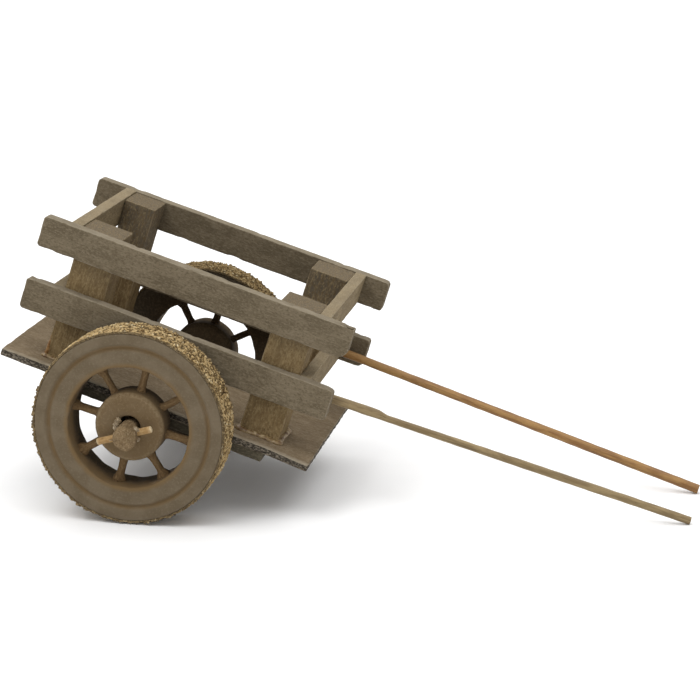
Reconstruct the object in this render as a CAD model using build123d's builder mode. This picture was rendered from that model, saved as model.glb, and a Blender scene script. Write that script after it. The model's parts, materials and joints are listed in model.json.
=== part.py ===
from build123d import *
import os
from math import asin, atan2, cos, degrees, hypot, radians, sin, sqrt

# Miniature two-wheeled handcart, at rest: it stands on its two wheels and on the tips of its
# two shafts, so its bed slopes down towards the shafts.
# Millimetres. +X points to the shaft tips, +Y to the cart's left, +Z up. The origin is on the
# ground, in the middle of the overall length and on the centre plane.
# Sizes along the body are given in the cart's own frame: x along the bed and z square to it,
# both from the wheel axis.

# ---- Driving dimensions ----

# Boards of the box
rail_inner = 29.24          # centre plane to the inner face of a side rail
rail_thickness = 3.86
rail_height = 10.0
rail_gap = 10.8             # between the lower and the upper rail
lower_rail_lift = 13.5      # bed top to the lower rail
cross_rail_thickness = 3.6
board_round = 0.35          # worn edges of every board

# Bed
bed_lift = 2.5              # wheel axis to the underside of the bed
bed_thickness = 2.3
right_ledge = 3.5           # bed beyond the outer face of the right rails; on the left it is flush
bed_corner_round = 1.2
bed_round = 0.5

# Posts, and where they stand along the bed
post_width = 13.0           # across the cart
post_length = 13.0          # along the cart
short_post_length = 10.7    # the rear left post
post_round = 0.5
post_drop = 0.45            # top of the upper rail to the top of a post
front_post_face = 42.5      # wheel axis to the front face of the front posts
rear_post_face = 36.0       # wheel axis to the rear face of the rear posts
rail_front_overhang = 11.9  # side rails beyond the front posts
rail_rear_overhang = 11.4   # side rails beyond the rear posts
long_rail_extra = 2.0       # the upper left rail reaches this much further back
bed_front_overhang = 12.0
bed_rear_overhang = 12.0
bead_width = 1.5            # dried glue around the foot of a post
bead_height = 1.5

# Runners under the bed
runner_width = 12.0
runner_thickness = 3.0
runner_inset = 0.6          # edge of the bed to the runner
front_runner_end = 40.0     # wheel axis to the front end of the front runners
rear_runner_end = 30.0

# Axle
arm_radius = 3.2
beam_width = 8.0
beam_cover = 0.5            # wood of the beam under the round arms
beam_shoulder = 0.4         # beam beyond the right edge of the bed, where the arms begin
axle_overhang = 5.55        # axle beyond the outer face of a wheel
axle_chamfer = 0.35

# Wheels
wheel_clearance = 1.5       # right edge of the bed to the right wheel
left_wheel_slide = 1.1      # the left wheel has slid this far inwards on its arm
ring_width = 12.3
ring_radius = 29.6
ring_opening_radius = 19.05
ring_groove_radius = 25.4
ring_groove_width = 1.2
ring_groove_depth = 0.8
ring_step = 0.35            # inner band of the ring's face, below its outer band
ring_chamfer = 0.5
tread_thickness = 1.2
tread_round = 0.4
hub_radius = 10.9
hub_width = 9.8
hub_chamfer = 1.2
bore_clearance = 0.5        # radius of the bore over that of the arm
bore_play = 0.08            # the arm rests this far above the bottom of the bore
spoke_count = 8
spoke_radius = 1.2
spoke_socket = 1.6
glue_gap = 0.03             # round pieces glued into their holes
spoke_turn = {"right": -14.7, "left": -19.5}  # first spoke above level, in degrees

# Linchpins
pin_radius = 1.05
pin_length = 18.0
pin_point = 0.6             # blunt point at each end
pin_gap = 1.6               # hub face to the pin
pin_drop = 1.15             # axis of the arm to the axis of the pin
pin_slide = 0.9             # middle of the arm to the middle of the pin, along the pin
pin_turn = {"right": 16.5, "left": 28.0}

# Shafts
shaft_root_y = 27.0
shaft_reach = 127.7         # front face of the front posts to the tip of the right shaft
shaft_root_gap = 0.3        # root of a shaft to the front post behind it
right_root_radius = 1.39
right_neck_radius = 1.0
right_tip_radius = 1.2
right_root_length = 26.0    # thick end, then a sliver is split off its upper side
right_neck_slope = 3.0
right_taper_length = 45.0
left_root_radius = 1.40
left_tip_radius = 1.47
left_root_length = 60.0
left_taper_length = 20.0
left_shaft_extra = 1.3
shaft_tip_y = {"right": -14.0, "left": 16.4}
right_root_lift = 4.9       # underside of the lower rails to the axis of the right shaft
left_root_lift = 3.8

# ---- Heights and reaches that follow from them ----

tread_radius = ring_radius + tread_thickness
bore_radius = arm_radius + bore_clearance
arm_drop = bore_clearance - bore_play
bed_bottom = bed_lift
bed_top = bed_bottom + bed_thickness
lower_rail_bottom = bed_top + lower_rail_lift
upper_rail_bottom = lower_rail_bottom + rail_height + rail_gap
post_top = upper_rail_bottom + rail_height - post_drop
beam_bottom = -arm_radius - arm_drop - beam_cover

rail_outer = rail_inner + rail_thickness
bed_right = rail_outer + right_ledge
bed_left = rail_outer
beam_reach = bed_right + beam_shoulder
right_wheel_mid = bed_right + wheel_clearance + ring_width / 2
wheel_mid = {"right": right_wheel_mid, "left": right_wheel_mid - left_wheel_slide}
axle_end = right_wheel_mid + ring_width / 2 + axle_overhang
pin_station = right_wheel_mid + hub_width / 2 + pin_gap + pin_radius

bed_front = front_post_face + bed_front_overhang
bed_rear = rear_post_face + bed_rear_overhang

# The cart tips forward until its wheels and the lower edges of its shaft tips are level.
right_tip_x = front_post_face + shaft_reach
right_tip_z = lower_rail_bottom + right_root_lift
tip_underside = right_tip_z - right_tip_radius
pitch = asin(tread_radius / hypot(right_tip_x, tip_underside)) + atan2(tip_underside, right_tip_x)
left_tip_x = right_tip_x + left_shaft_extra
left_tip_z = left_tip_radius + (left_tip_x * sin(pitch) - tread_radius) / cos(pitch)

shaft_root_x = front_post_face + shaft_root_gap
shaft_ends = {
    "right": (
        Vector(shaft_root_x, -shaft_root_y, lower_rail_bottom + right_root_lift),
        Vector(right_tip_x, shaft_tip_y["right"], right_tip_z),
    ),
    "left": (
        Vector(shaft_root_x, shaft_root_y, lower_rail_bottom + left_root_lift),
        Vector(left_tip_x, shaft_tip_y["left"], left_tip_z),
    ),
}

# The cart's own frame, first with the wheel axis at the origin, to find the overall length
forward = Vector(cos(pitch), 0, -sin(pitch))
upward = Vector(sin(pitch), 0, cos(pitch))
tilt = Plane(origin=(0, 0, 0), x_dir=forward, z_dir=upward)
left_tip = tilt.from_local_coords(shaft_ends["left"][1])
left_run = left_tip - tilt.from_local_coords(shaft_ends["left"][0])
front_reach = left_tip.X + left_tip_radius * sqrt(1 - left_run.normalized().X ** 2)
rear_reach = tilt.from_local_coords(Vector(-bed_rear, 0, bed_bottom)).X
axle_x = -(front_reach + rear_reach) / 2
axle_origin = Vector(axle_x, 0, tread_radius)
cart = Plane(origin=axle_origin, x_dir=forward, z_dir=upward)

SIDES = {"right": -1, "left": 1}

os.makedirs("parts", exist_ok=True)


def keep(piece, label):
    """Label a finished piece and write it as its own STEP file."""
    piece.part.label = label
    export_step(piece.part, f"parts/{label}.step")


def cart_block(x_range, y_range, z_range):
    """Add a plain block to the current part, between two values along each axis of the cart."""
    middle = (sum(x_range) / 2, sum(y_range) / 2)
    with BuildSketch(cart.offset(z_range[0])) as outline:
        with Locations(middle):
            Rectangle(x_range[1] - x_range[0], y_range[1] - y_range[0])
    extrude(outline.sketch, amount=z_range[1] - z_range[0])


def across(side, inner, outer):
    """Values across the cart, lowest first, for a piece on one side of the centre plane."""
    return tuple(sorted((SIDES[side] * inner, SIDES[side] * outer)))


def wheel_plane(side):
    """Plane through the wheel axis: x points out of the cart along the axle, y points up."""
    out = SIDES[side]
    return Plane(origin=axle_origin + Vector(0, out * wheel_mid[side], 0), x_dir=(0, out, 0), z_dir=(out, 0, 0))


def wheel_axis(side):
    return Axis(wheel_plane(side).origin, (0, 1, 0))


def spoke_planes(side):
    """One plane at the foot of each spoke, inside the hub, looking out along the spoke."""
    centre = wheel_plane(side).origin
    planes = []
    for index in range(spoke_count):
        angle = radians(spoke_turn[side] + index * 360 / spoke_count)
        direction = Vector(cos(angle), 0, sin(angle))
        planes.append(Plane(origin=centre + direction * (hub_radius - spoke_socket), z_dir=direction))
    return planes


spoke_length = ring_opening_radius - hub_radius + 2 * spoke_socket


def pin_plane(side):
    """Plane across the linchpin at the middle of its length."""
    angle = radians(pin_turn[side])
    direction = Vector(cos(angle), 0, sin(angle))
    offset = Vector(sin(angle), 0, -cos(angle)) * pin_drop - direction * pin_slide
    arm_middle = axle_origin + Vector(0, SIDES[side] * pin_station, -arm_drop)
    return Plane(origin=arm_middle + offset, z_dir=direction)


def shaft_plane(side):
    """Plane across a shaft at its root, looking along the shaft, with y as near up as it goes."""
    root, tip = (cart.from_local_coords(end) for end in shaft_ends[side])
    direction = (tip - root).normalized()
    return Plane(origin=root, x_dir=upward.cross(direction), z_dir=direction)


def shaft_length(side):
    root, tip = shaft_ends[side]
    return (tip - root).length


def shaft_sections(side):
    """Distance along the shaft, radius and lift of each section, from the root to the tip."""
    if side == "left":
        return [
            (0, left_root_radius, 0),
            (left_root_length, left_root_radius, 0),
            (left_root_length + left_taper_length, left_tip_radius, 0),
            (shaft_length(side), left_tip_radius, 0),
        ]
    root_lift = right_root_radius - right_neck_radius
    neck = right_root_length + right_neck_slope
    return [
        (0, right_root_radius, root_lift),
        (right_root_length, right_root_radius, root_lift),
        (neck, right_neck_radius, 0),
        (neck + right_taper_length, right_tip_radius, 0),
        (shaft_length(side), right_tip_radius, 0),
    ]


def cut_shaft_holes():
    """Cut the sockets of both shafts out of the current part."""
    for side in SIDES:
        _, radius, lift = shaft_sections(side)[0]
        with BuildSketch(shaft_plane(side)) as socket:
            with Locations((0, lift)):
                Circle(radius + glue_gap)
        extrude(socket.sketch, amount=2 * cross_rail_thickness, mode=Mode.SUBTRACT)


# ---- Bed, runners and axle ----

bed_normal = Axis(cart.origin, cart.z_dir)

with BuildPart() as bed_board:
    cart_block((-bed_rear, bed_front), (-bed_right, bed_left), (bed_bottom, bed_top))
    fillet(bed_board.edges().filter_by(bed_normal), bed_corner_round)
    chamfer(bed_board.faces().sort_by(bed_normal)[-1].edges(), bed_round)
keep(bed_board, "bed_board")

beam_half = beam_width / 2
for side, bed_edge in {"right": bed_right, "left": bed_left}.items():
    runner_outer = bed_edge - runner_inset
    for end, x_range in {
        "front": (beam_half, front_runner_end),
        "rear": (-rear_runner_end, -beam_half),
    }.items():
        with BuildPart() as runner:
            runner_y = across(side, runner_outer - runner_width, runner_outer)
            cart_block(x_range, runner_y, (bed_bottom - runner_thickness, bed_bottom))
            chamfer(runner.faces().sort_by(bed_normal)[0].edges(), board_round)
        keep(runner, f"bed_runner_{end}_{side}")

with BuildPart() as axle_beam:
    cart_block((-beam_half, beam_half), (-beam_reach, beam_reach), (beam_bottom, bed_bottom))
    for out in SIDES.values():
        with BuildSketch(Plane(origin=(0, out * beam_reach, 0), x_dir=(1, 0, 0), z_dir=(0, out, 0))):
            with Locations((axle_x, -out * (tread_radius - arm_drop))):
                Circle(arm_radius)
        extrude(amount=axle_end - beam_reach)
    arm_ends = axle_beam.faces().sort_by(Axis.Y)
    chamfer(arm_ends[0].edges() + arm_ends[-1].edges(), axle_chamfer)
    for side in SIDES:
        with BuildSketch(pin_plane(side).offset(-pin_length / 2)):
            Circle(pin_radius + glue_gap)
        extrude(amount=pin_length, mode=Mode.SUBTRACT)
keep(axle_beam, "axle_beam")

# ---- Posts and the glue round their feet ----

for side in SIDES:
    post_y = across(side, rail_inner - post_width, rail_inner)
    rear_length = short_post_length if side == "left" else post_length
    for end, x_range in {
        "front": (front_post_face - post_length, front_post_face),
        "rear": (-rear_post_face, -rear_post_face + rear_length),
    }.items():
        with BuildPart() as post:
            cart_block(x_range, post_y, (bed_top, post_top))
            fillet(post.edges().filter_by(bed_normal), post_round)
        keep(post, f"post_{end}_{side}")

        bead_x = (x_range[0] - bead_width, x_range[1] + bead_width)
        bead_y = (post_y[0] - bead_width, post_y[1] + bead_width)
        with BuildPart() as bead:
            cart_block(bead_x, bead_y, (bed_top, bed_top + bead_height))
            fillet(bead.edges().filter_by(bed_normal), bead_width)
            chamfer(bead.faces().sort_by(bed_normal)[-1].edges(), bead_height / 2)
            with BuildSketch(cart.offset(bed_top)):
                with Locations((sum(x_range) / 2, sum(post_y) / 2)):
                    RectangleRounded(x_range[1] - x_range[0], post_width, post_round)
            extrude(amount=bead_height, mode=Mode.SUBTRACT)
        keep(bead, f"glue_bead_{end}_{side}")

# ---- Rails ----

LEVELS = {"lower": lower_rail_bottom, "upper": upper_rail_bottom}
rail_front = front_post_face + rail_front_overhang
for level, bottom in LEVELS.items():
    rail_z = (bottom, bottom + rail_height)
    for side in SIDES:
        rail_rear = rear_post_face + rail_rear_overhang
        if (level, side) == ("upper", "left"):
            rail_rear = rail_rear + long_rail_extra
        with BuildPart() as side_rail:
            cart_block((-rail_rear, rail_front), across(side, rail_inner, rail_outer), rail_z)
            chamfer(side_rail.edges(), board_round)
        keep(side_rail, f"side_rail_{level}_{side}")

    for end, x_range in {
        "front": (front_post_face, front_post_face + cross_rail_thickness),
        "rear": (-rear_post_face - cross_rail_thickness, -rear_post_face),
    }.items():
        with BuildPart() as cross_rail:
            cart_block(x_range, (-rail_inner, rail_inner), rail_z)
            chamfer(cross_rail.edges(), board_round)
            if (level, end) == ("lower", "front"):
                cut_shaft_holes()
        keep(cross_rail, f"cross_rail_{level}_{end}")

# ---- Shafts ----

for side in SIDES:
    with BuildPart() as shaft:
        for distance, radius, lift in shaft_sections(side):
            with BuildSketch(shaft_plane(side).offset(distance)):
                with Locations((0, lift)):
                    Circle(radius)
        loft(ruled=True)
    keep(shaft, f"shaft_{side}")

# ---- Wheels ----

ring_half = ring_width / 2
hub_half = hub_width / 2
inner_face = ring_half - ring_step
groove_inner = ring_groove_radius - ring_groove_width / 2
groove_outer = ring_groove_radius + ring_groove_width / 2
for side in SIDES:
    plane = wheel_plane(side)
    with BuildPart() as ring:
        with BuildSketch(plane):
            with BuildLine():
                Polyline(
                    (-ring_half, ring_opening_radius),
                    (-ring_half, ring_radius),
                    (ring_half, ring_radius),
                    (ring_half, groove_outer),
                    (ring_half - ring_groove_depth, ring_groove_radius),
                    (inner_face, groove_inner),
                    (inner_face, ring_opening_radius + ring_chamfer),
                    (inner_face - ring_chamfer, ring_opening_radius),
                    close=True,
                )
            make_face()
        revolve(axis=wheel_axis(side))
        with BuildSketch(*spoke_planes(side)):
            Circle(spoke_radius + glue_gap)
        extrude(amount=spoke_length, mode=Mode.SUBTRACT)
    keep(ring, f"wheel_ring_{side}")

    with BuildPart() as tread:
        with BuildSketch(plane):
            with Locations((0, ring_radius + tread_thickness / 2)):
                Rectangle(ring_width, tread_thickness)
        revolve(axis=wheel_axis(side))
        outer_rims = tread.edges().filter_by(GeomType.CIRCLE).group_by(SortBy.RADIUS)[-1]
        chamfer(outer_rims, tread_round)
    keep(tread, f"wheel_tread_{side}")

    with BuildPart() as hub:
        with BuildSketch(plane):
            with BuildLine():
                Polyline(
                    (-hub_half, bore_radius),
                    (-hub_half, hub_radius - hub_chamfer),
                    (-hub_half + hub_chamfer, hub_radius),
                    (hub_half - hub_chamfer, hub_radius),
                    (hub_half, hub_radius - hub_chamfer),
                    (hub_half, bore_radius),
                    close=True,
                )
            make_face()
        revolve(axis=wheel_axis(side))
        with BuildSketch(*spoke_planes(side)):
            Circle(spoke_radius + glue_gap)
        extrude(amount=spoke_length, mode=Mode.SUBTRACT)
    keep(hub, f"wheel_hub_{side}")

    for number, foot in enumerate(spoke_planes(side), start=1):
        with BuildPart() as spoke:
            with BuildSketch(foot):
                Circle(spoke_radius)
            extrude(amount=spoke_length)
        keep(spoke, f"spoke_{side}_{number}")

# ---- Linchpins ----

for side in SIDES:
    with BuildPart() as linchpin:
        with BuildSketch(pin_plane(side).offset(-pin_length / 2)):
            Circle(pin_radius)
        extrude(amount=pin_length)
        chamfer(linchpin.edges().filter_by(GeomType.CIRCLE), pin_point)
    keep(linchpin, f"linchpin_{side}")
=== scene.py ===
import json
from math import cos, hypot, pi, radians, sin

import bmesh
import bpy
from mathutils import Euler, Matrix, Vector, noise


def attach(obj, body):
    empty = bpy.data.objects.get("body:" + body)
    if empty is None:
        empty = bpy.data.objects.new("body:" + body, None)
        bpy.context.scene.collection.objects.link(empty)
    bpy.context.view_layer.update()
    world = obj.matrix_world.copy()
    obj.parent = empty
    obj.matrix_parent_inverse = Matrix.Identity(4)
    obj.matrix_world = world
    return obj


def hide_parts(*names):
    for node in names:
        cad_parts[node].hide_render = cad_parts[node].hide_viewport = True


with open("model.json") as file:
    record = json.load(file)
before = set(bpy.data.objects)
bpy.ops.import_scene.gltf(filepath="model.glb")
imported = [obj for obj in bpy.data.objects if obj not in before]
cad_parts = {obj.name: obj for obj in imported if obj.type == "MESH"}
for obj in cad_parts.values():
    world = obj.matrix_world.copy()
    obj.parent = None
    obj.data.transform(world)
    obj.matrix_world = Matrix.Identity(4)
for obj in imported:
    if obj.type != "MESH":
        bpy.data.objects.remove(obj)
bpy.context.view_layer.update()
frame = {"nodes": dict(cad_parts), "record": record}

# Looks of a miniature wooden handcart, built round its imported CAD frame.
# Lengths are in metres in Blender and in millimetres in the mesh builders below (see MM).

MM = 0.001

# ---- The cart's own frame, read from the record ----

record = frame["record"]
wheel_centre = {joint["child"]: Vector(joint["pos_m"]) for joint in record["behaviour"]["joints"]}
axle_centre = (wheel_centre["wheel_right"] + wheel_centre["wheel_left"]) / 2
axle_centre.y = 0
cart_up = Vector(next(mount["axis"] for mount in record["mounts"] if mount["name"] == "rail_top_right"))
cart_forward = Vector((cart_up.z, 0, -cart_up.x))
cart_left = Vector((0, 1, 0))
SIDES = {"right": -1, "left": 1}
OUT = {side: cart_left * sign for side, sign in SIDES.items()}


def axes_matrix(x_axis, y_axis, z_axis, origin):
    """Matrix of a frame with those axes and that origin."""
    return Matrix.Translation(origin) @ Matrix((x_axis, y_axis, z_axis)).transposed().to_4x4()


# Each frame has its local X along the grain of the pieces made in it.
ALONG = axes_matrix(cart_forward, cart_left, cart_up, axle_centre)
ACROSS = axes_matrix(cart_left, -cart_forward, cart_up, axle_centre)
UPRIGHT = axes_matrix(cart_up, cart_left, -cart_forward, axle_centre)


def local_points(node, matrix):
    """Points of a CAD node in that frame, in millimetres."""
    inverse = matrix.inverted()
    return [inverse @ vertex.co / MM for vertex in frame["nodes"][node].data.vertices]


def box_of(points):
    """Lowest and highest corner of those points."""
    return [[choose(point[axis] for point in points) for axis in range(3)] for choose in (min, max)]


def local_box(node, matrix):
    """Lowest and highest corner of a CAD node in that frame, in millimetres."""
    return box_of(local_points(node, matrix))


# ---- Mesh builders (millimetres, in a piece's own frame) ----


def blend01(low, high, value):
    """0 below low, 1 above high and smooth between them."""
    share = min(max((value - low) / (high - low), 0.0), 1.0)
    return share * share * (3 - 2 * share)


def wander(point, size, seed=0.0):
    """Smooth noise between about -1 and 1 whose lumps are about that many millimetres across."""
    return noise.noise(Vector(point) / size + Vector((seed * 7.3, seed * 3.1, -seed * 5.7)))


class Shape:
    """Points, faces and named values per point of one mesh."""

    def __init__(self):
        self.points, self.faces, self.values = [], [], {}

    def add(self, point, **values):
        """A point with its named values; gives its index."""
        self.points.append(tuple(point))
        for name, value in values.items():
            self.values.setdefault(name, {})[len(self.points) - 1] = value
        return len(self.points) - 1

    def mark(self, name, value_at):
        """A named value for every point, worked out from its place."""
        self.values[name] = {index: value_at(point) for index, point in enumerate(self.points)}

    def face(self, corners):
        """A face between those points."""
        self.faces.append(tuple(corners))

    def grid(self, rows):
        """Faces between rows of point indices, each row a closed ring."""
        for low, high in zip(rows, rows[1:]):
            for index in range(len(low)):
                after = (index + 1) % len(low)
                self.face((low[index], low[after], high[after], high[index]))


def fix_normals(mesh):
    """Every face turned outwards."""
    work = bmesh.new()
    work.from_mesh(mesh)
    bmesh.ops.recalc_face_normals(work, faces=work.faces)
    work.to_mesh(mesh)
    work.free()


def make_piece(name, shape, matrix, material, body, stands_for=(), sharp=None):
    """Blender object of a shape, smooth shaded, riding on its body. stands_for holds the CAD nodes
    that it replaces, and edges sharper than that angle in degrees are shaded as edges."""
    mesh = bpy.data.meshes.new(name)
    mesh.from_pydata([[value * MM for value in point] for point in shape.points], [], shape.faces)
    mesh.polygons.foreach_set("use_smooth", [True] * len(mesh.polygons))
    for key, values in shape.values.items():
        attribute = mesh.attributes.new(key, "FLOAT", "POINT")
        column = [values.get(index, 0.0) for index in range(len(shape.points))]
        attribute.data.foreach_set("value", column)
    mesh.materials.append(material)
    mesh.update()
    piece = bpy.data.objects.new(name, mesh)
    bpy.context.collection.objects.link(piece)
    piece.matrix_world = matrix
    fix_normals(mesh)
    if sharp:
        mesh.set_sharp_from_angle(angle=radians(sharp))
    bpy.context.view_layer.update()
    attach(piece, body)
    if stands_for:
        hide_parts(*stands_for)


def spaced(low, high, count):
    """Places from low to high that part it into count equal steps."""
    return [low + (high - low) * step / count for step in range(count + 1)]


EDGE_STEPS = (0.0, 0.12, 0.28, 0.5, 0.8, 1.2)  # places near the ends of a block, from each end


def stations(low, high, step):
    """Places from low to high, close together near both ends."""
    reach = (high - low) / 2
    near = [offset for offset in EDGE_STEPS if offset < reach * 0.8]
    count = max(1, round((high - low - 2 * near[-1]) / step))
    middle = spaced(low + near[-1], high - near[-1], count)[1:-1]
    return [low + offset for offset in near] + middle + [high - offset for offset in reversed(near)]


def round_ends(point, low, high, radii):
    """Corners of the X-Z outline pulled in to arcs: radii are for rear low, rear high, front low
    and front high."""
    for number, radius in enumerate(radii):
        side_x, edge_x = (1, high[0]) if number > 1 else (-1, low[0])
        side_z, edge_z = (1, high[2]) if number % 2 else (-1, low[2])
        away_x = radius + side_x * (point[0] - edge_x)
        away_z = radius + side_z * (point[2] - edge_z)
        if away_x > 0 and away_z > 0:
            share = max(away_x, away_z) / hypot(away_x, away_z)
            point[0] -= side_x * away_x * (1 - share)
            point[2] -= side_z * away_z * (1 - share)
    return point


EDGE_LUMP = 9.0  # size of the stretches over which an edge is more or less worn
FINE_LUMP = 1.1
BROAD_LUMP = 4.0


def worn_box(shape, low, high, step, corner, relief, seed, dent=None, marks=None, warp=None, ends=None):
    """A block with worn edges. corner is the smallest and the largest edge radius, and relief the
    height of the surface noise. dent(point, normal) moves a point along its normal, warp(point)
    moves it last, marks(point, normal) gives its values, and ends are the radii of round_ends."""
    places = [stations(low[axis], high[axis], step[axis]) for axis in range(3)]
    last = [len(place) - 1 for place in places]
    made = {}

    def index_of(key):
        if key not in made:
            point = [places[axis][key[axis]] for axis in range(3)]
            share = 0.5 + 0.5 * wander(point, EDGE_LUMP, seed)
            radius = corner[0] + (corner[1] - corner[0]) * min(max(share, 0.0), 1.0) ** 2
            inner = [min(max(point[a], low[a] + radius), high[a] - radius) for a in range(3)]
            away = Vector([point[a] - inner[a] for a in range(3)])
            normal = away.normalized()
            wear = sorted(abs(part) for part in away)[1] / radius
            fine, broad = wander(point, FINE_LUMP, seed + 1), wander(point, BROAD_LUMP, seed + 2)
            height = relief * (fine + 0.6 * broad)
            if dent:
                height += dent(point, normal)
            moved = Vector(inner) + normal * (radius + height)
            if ends:
                moved = round_ends(moved, low, high, ends)
            if warp:
                moved = moved + Vector(warp(point))
            extras = marks(point, normal) if marks else {}
            made[key] = shape.add(moved, wear=wear, **extras)
        return made[key]

    for axis in range(3):
        first, second = [other for other in range(3) if other != axis]
        for end in (0, last[axis]):
            for i in range(last[first]):
                for j in range(last[second]):
                    corners = []
                    for di, dj in ((0, 0), (1, 0), (1, 1), (0, 1)):
                        key = [0, 0, 0]
                        key[axis], key[first], key[second] = end, i + di, j + dj
                        corners.append(index_of(tuple(key)))
                    shape.face(corners)


def on_circle(radius, height, angle):
    """Point at that radius and angle round the local Z axis."""
    return radius * cos(angle), radius * sin(angle), height


def lathe(shape, outline, segments, jitter, values):
    """Rings about the local Z axis: outline holds (radius, height) pairs, closed into a band.
    jitter(radius, place) moves a point outwards, and values(radius, height, place) are given to its
    material."""
    rows = []
    for radius, height in outline:
        row = []
        for index in range(segments):
            angle = 2 * pi * index / segments
            place = on_circle(radius, height, angle)
            reach = radius + jitter(radius, place)
            row.append(shape.add(on_circle(reach, height, angle), **values(radius, height, place)))
        rows.append(row)
    shape.grid(rows + [rows[0]])


CORNER_SHARE = 0.45  # most of a side that one rounded corner may take


def rounded_outline(corners, radius, steps=3):
    """The closed outline with each corner cut into a small arc of about that radius."""
    result = []
    count = len(corners)
    for index in range(count):
        here = Vector(corners[index])
        before = Vector(corners[index - 1]) - here
        after = Vector(corners[(index + 1) % count]) - here
        reach = min(radius, before.length * CORNER_SHARE, after.length * CORNER_SHARE)
        start = here + before.normalized() * reach
        stop = here + after.normalized() * reach
        for step in range(steps + 1):
            share = step / steps
            point = start * (1 - share) ** 2 + here * 2 * share * (1 - share) + stop * share ** 2
            result.append(point)
    return result


def filled_outline(outline, step):
    """The closed outline with points added so that none are further apart than step."""
    result = []
    for point, after in zip(outline, outline[1:] + outline[:1]):
        count = max(1, round((after - point).length / step))
        result += [point.lerp(after, part / count) for part in range(count)]
    return result


STICK_STRETCH = 0.4  # lumps on a stick are longer along it than round it
STICK_SPREAD = 3.0
STICK_LUMP = 1.4


def stick(shape, sections, around, seed, roughness, flat, centre=(0.0, 0.0)):
    """A round stick along the local X axis. sections hold the place, radius, lift and roughness of
    each ring; the roughness may be left out. flat is how much of the radius its section is out of
    round."""
    rows = []
    for place, radius, lift, *rough in sections:
        rough = rough[0] if rough else roughness
        row = []
        for index in range(around):
            angle = 2 * pi * index / around
            spot = (place * STICK_STRETCH, STICK_SPREAD * cos(angle), STICK_SPREAD * sin(angle))
            reach = radius * (1 + flat * cos(2 * angle + seed)) + rough * wander(spot, STICK_LUMP, seed)
            side = centre[0] + reach * cos(angle)
            row.append(shape.add((place, side, centre[1] + lift + reach * sin(angle))))
        rows.append(row)
    shape.grid(rows)
    shape.face(rows[0][::-1])
    shape.face(rows[-1])


BLOB_RINGS = 14
BLOB_ROUGHNESS = 0.35
BLOB_FLATNESS = 0.8


def blob(shape, centre, size, seed):
    """A lump with an uneven surface, a little flattened."""
    rows = []
    for ring in range(1, BLOB_RINGS):
        polar = pi * ring / BLOB_RINGS
        row = []
        for index in range(2 * BLOB_RINGS):
            ray = Vector(on_circle(sin(polar), cos(polar), pi * index / BLOB_RINGS))
            reach = 1 + BLOB_ROUGHNESS * (wander(ray, 0.7, seed) + 0.5 * wander(ray, 0.3, seed + 1))
            ray.z *= BLOB_FLATNESS
            row.append(shape.add(Vector(centre) + ray * size * reach))
        rows.append(row)
    shape.grid(rows)
    shape.face(rows[0])
    shape.face(rows[-1][::-1])


# ---- Material builder ----


def tone(red, green, blue):
    """Linear colour of 0 to 255 display values."""
    values = [part / 255 for part in (red, green, blue)]
    linear = [part / 12.92 if part <= 0.04045 else ((part + 0.055) / 1.055) ** 2.4 for part in values]
    return linear + [1.0]


COLOUR_A, COLOUR_B, COLOUR_RESULT = 6, 7, 2  # the colour sockets of a mix node


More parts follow.
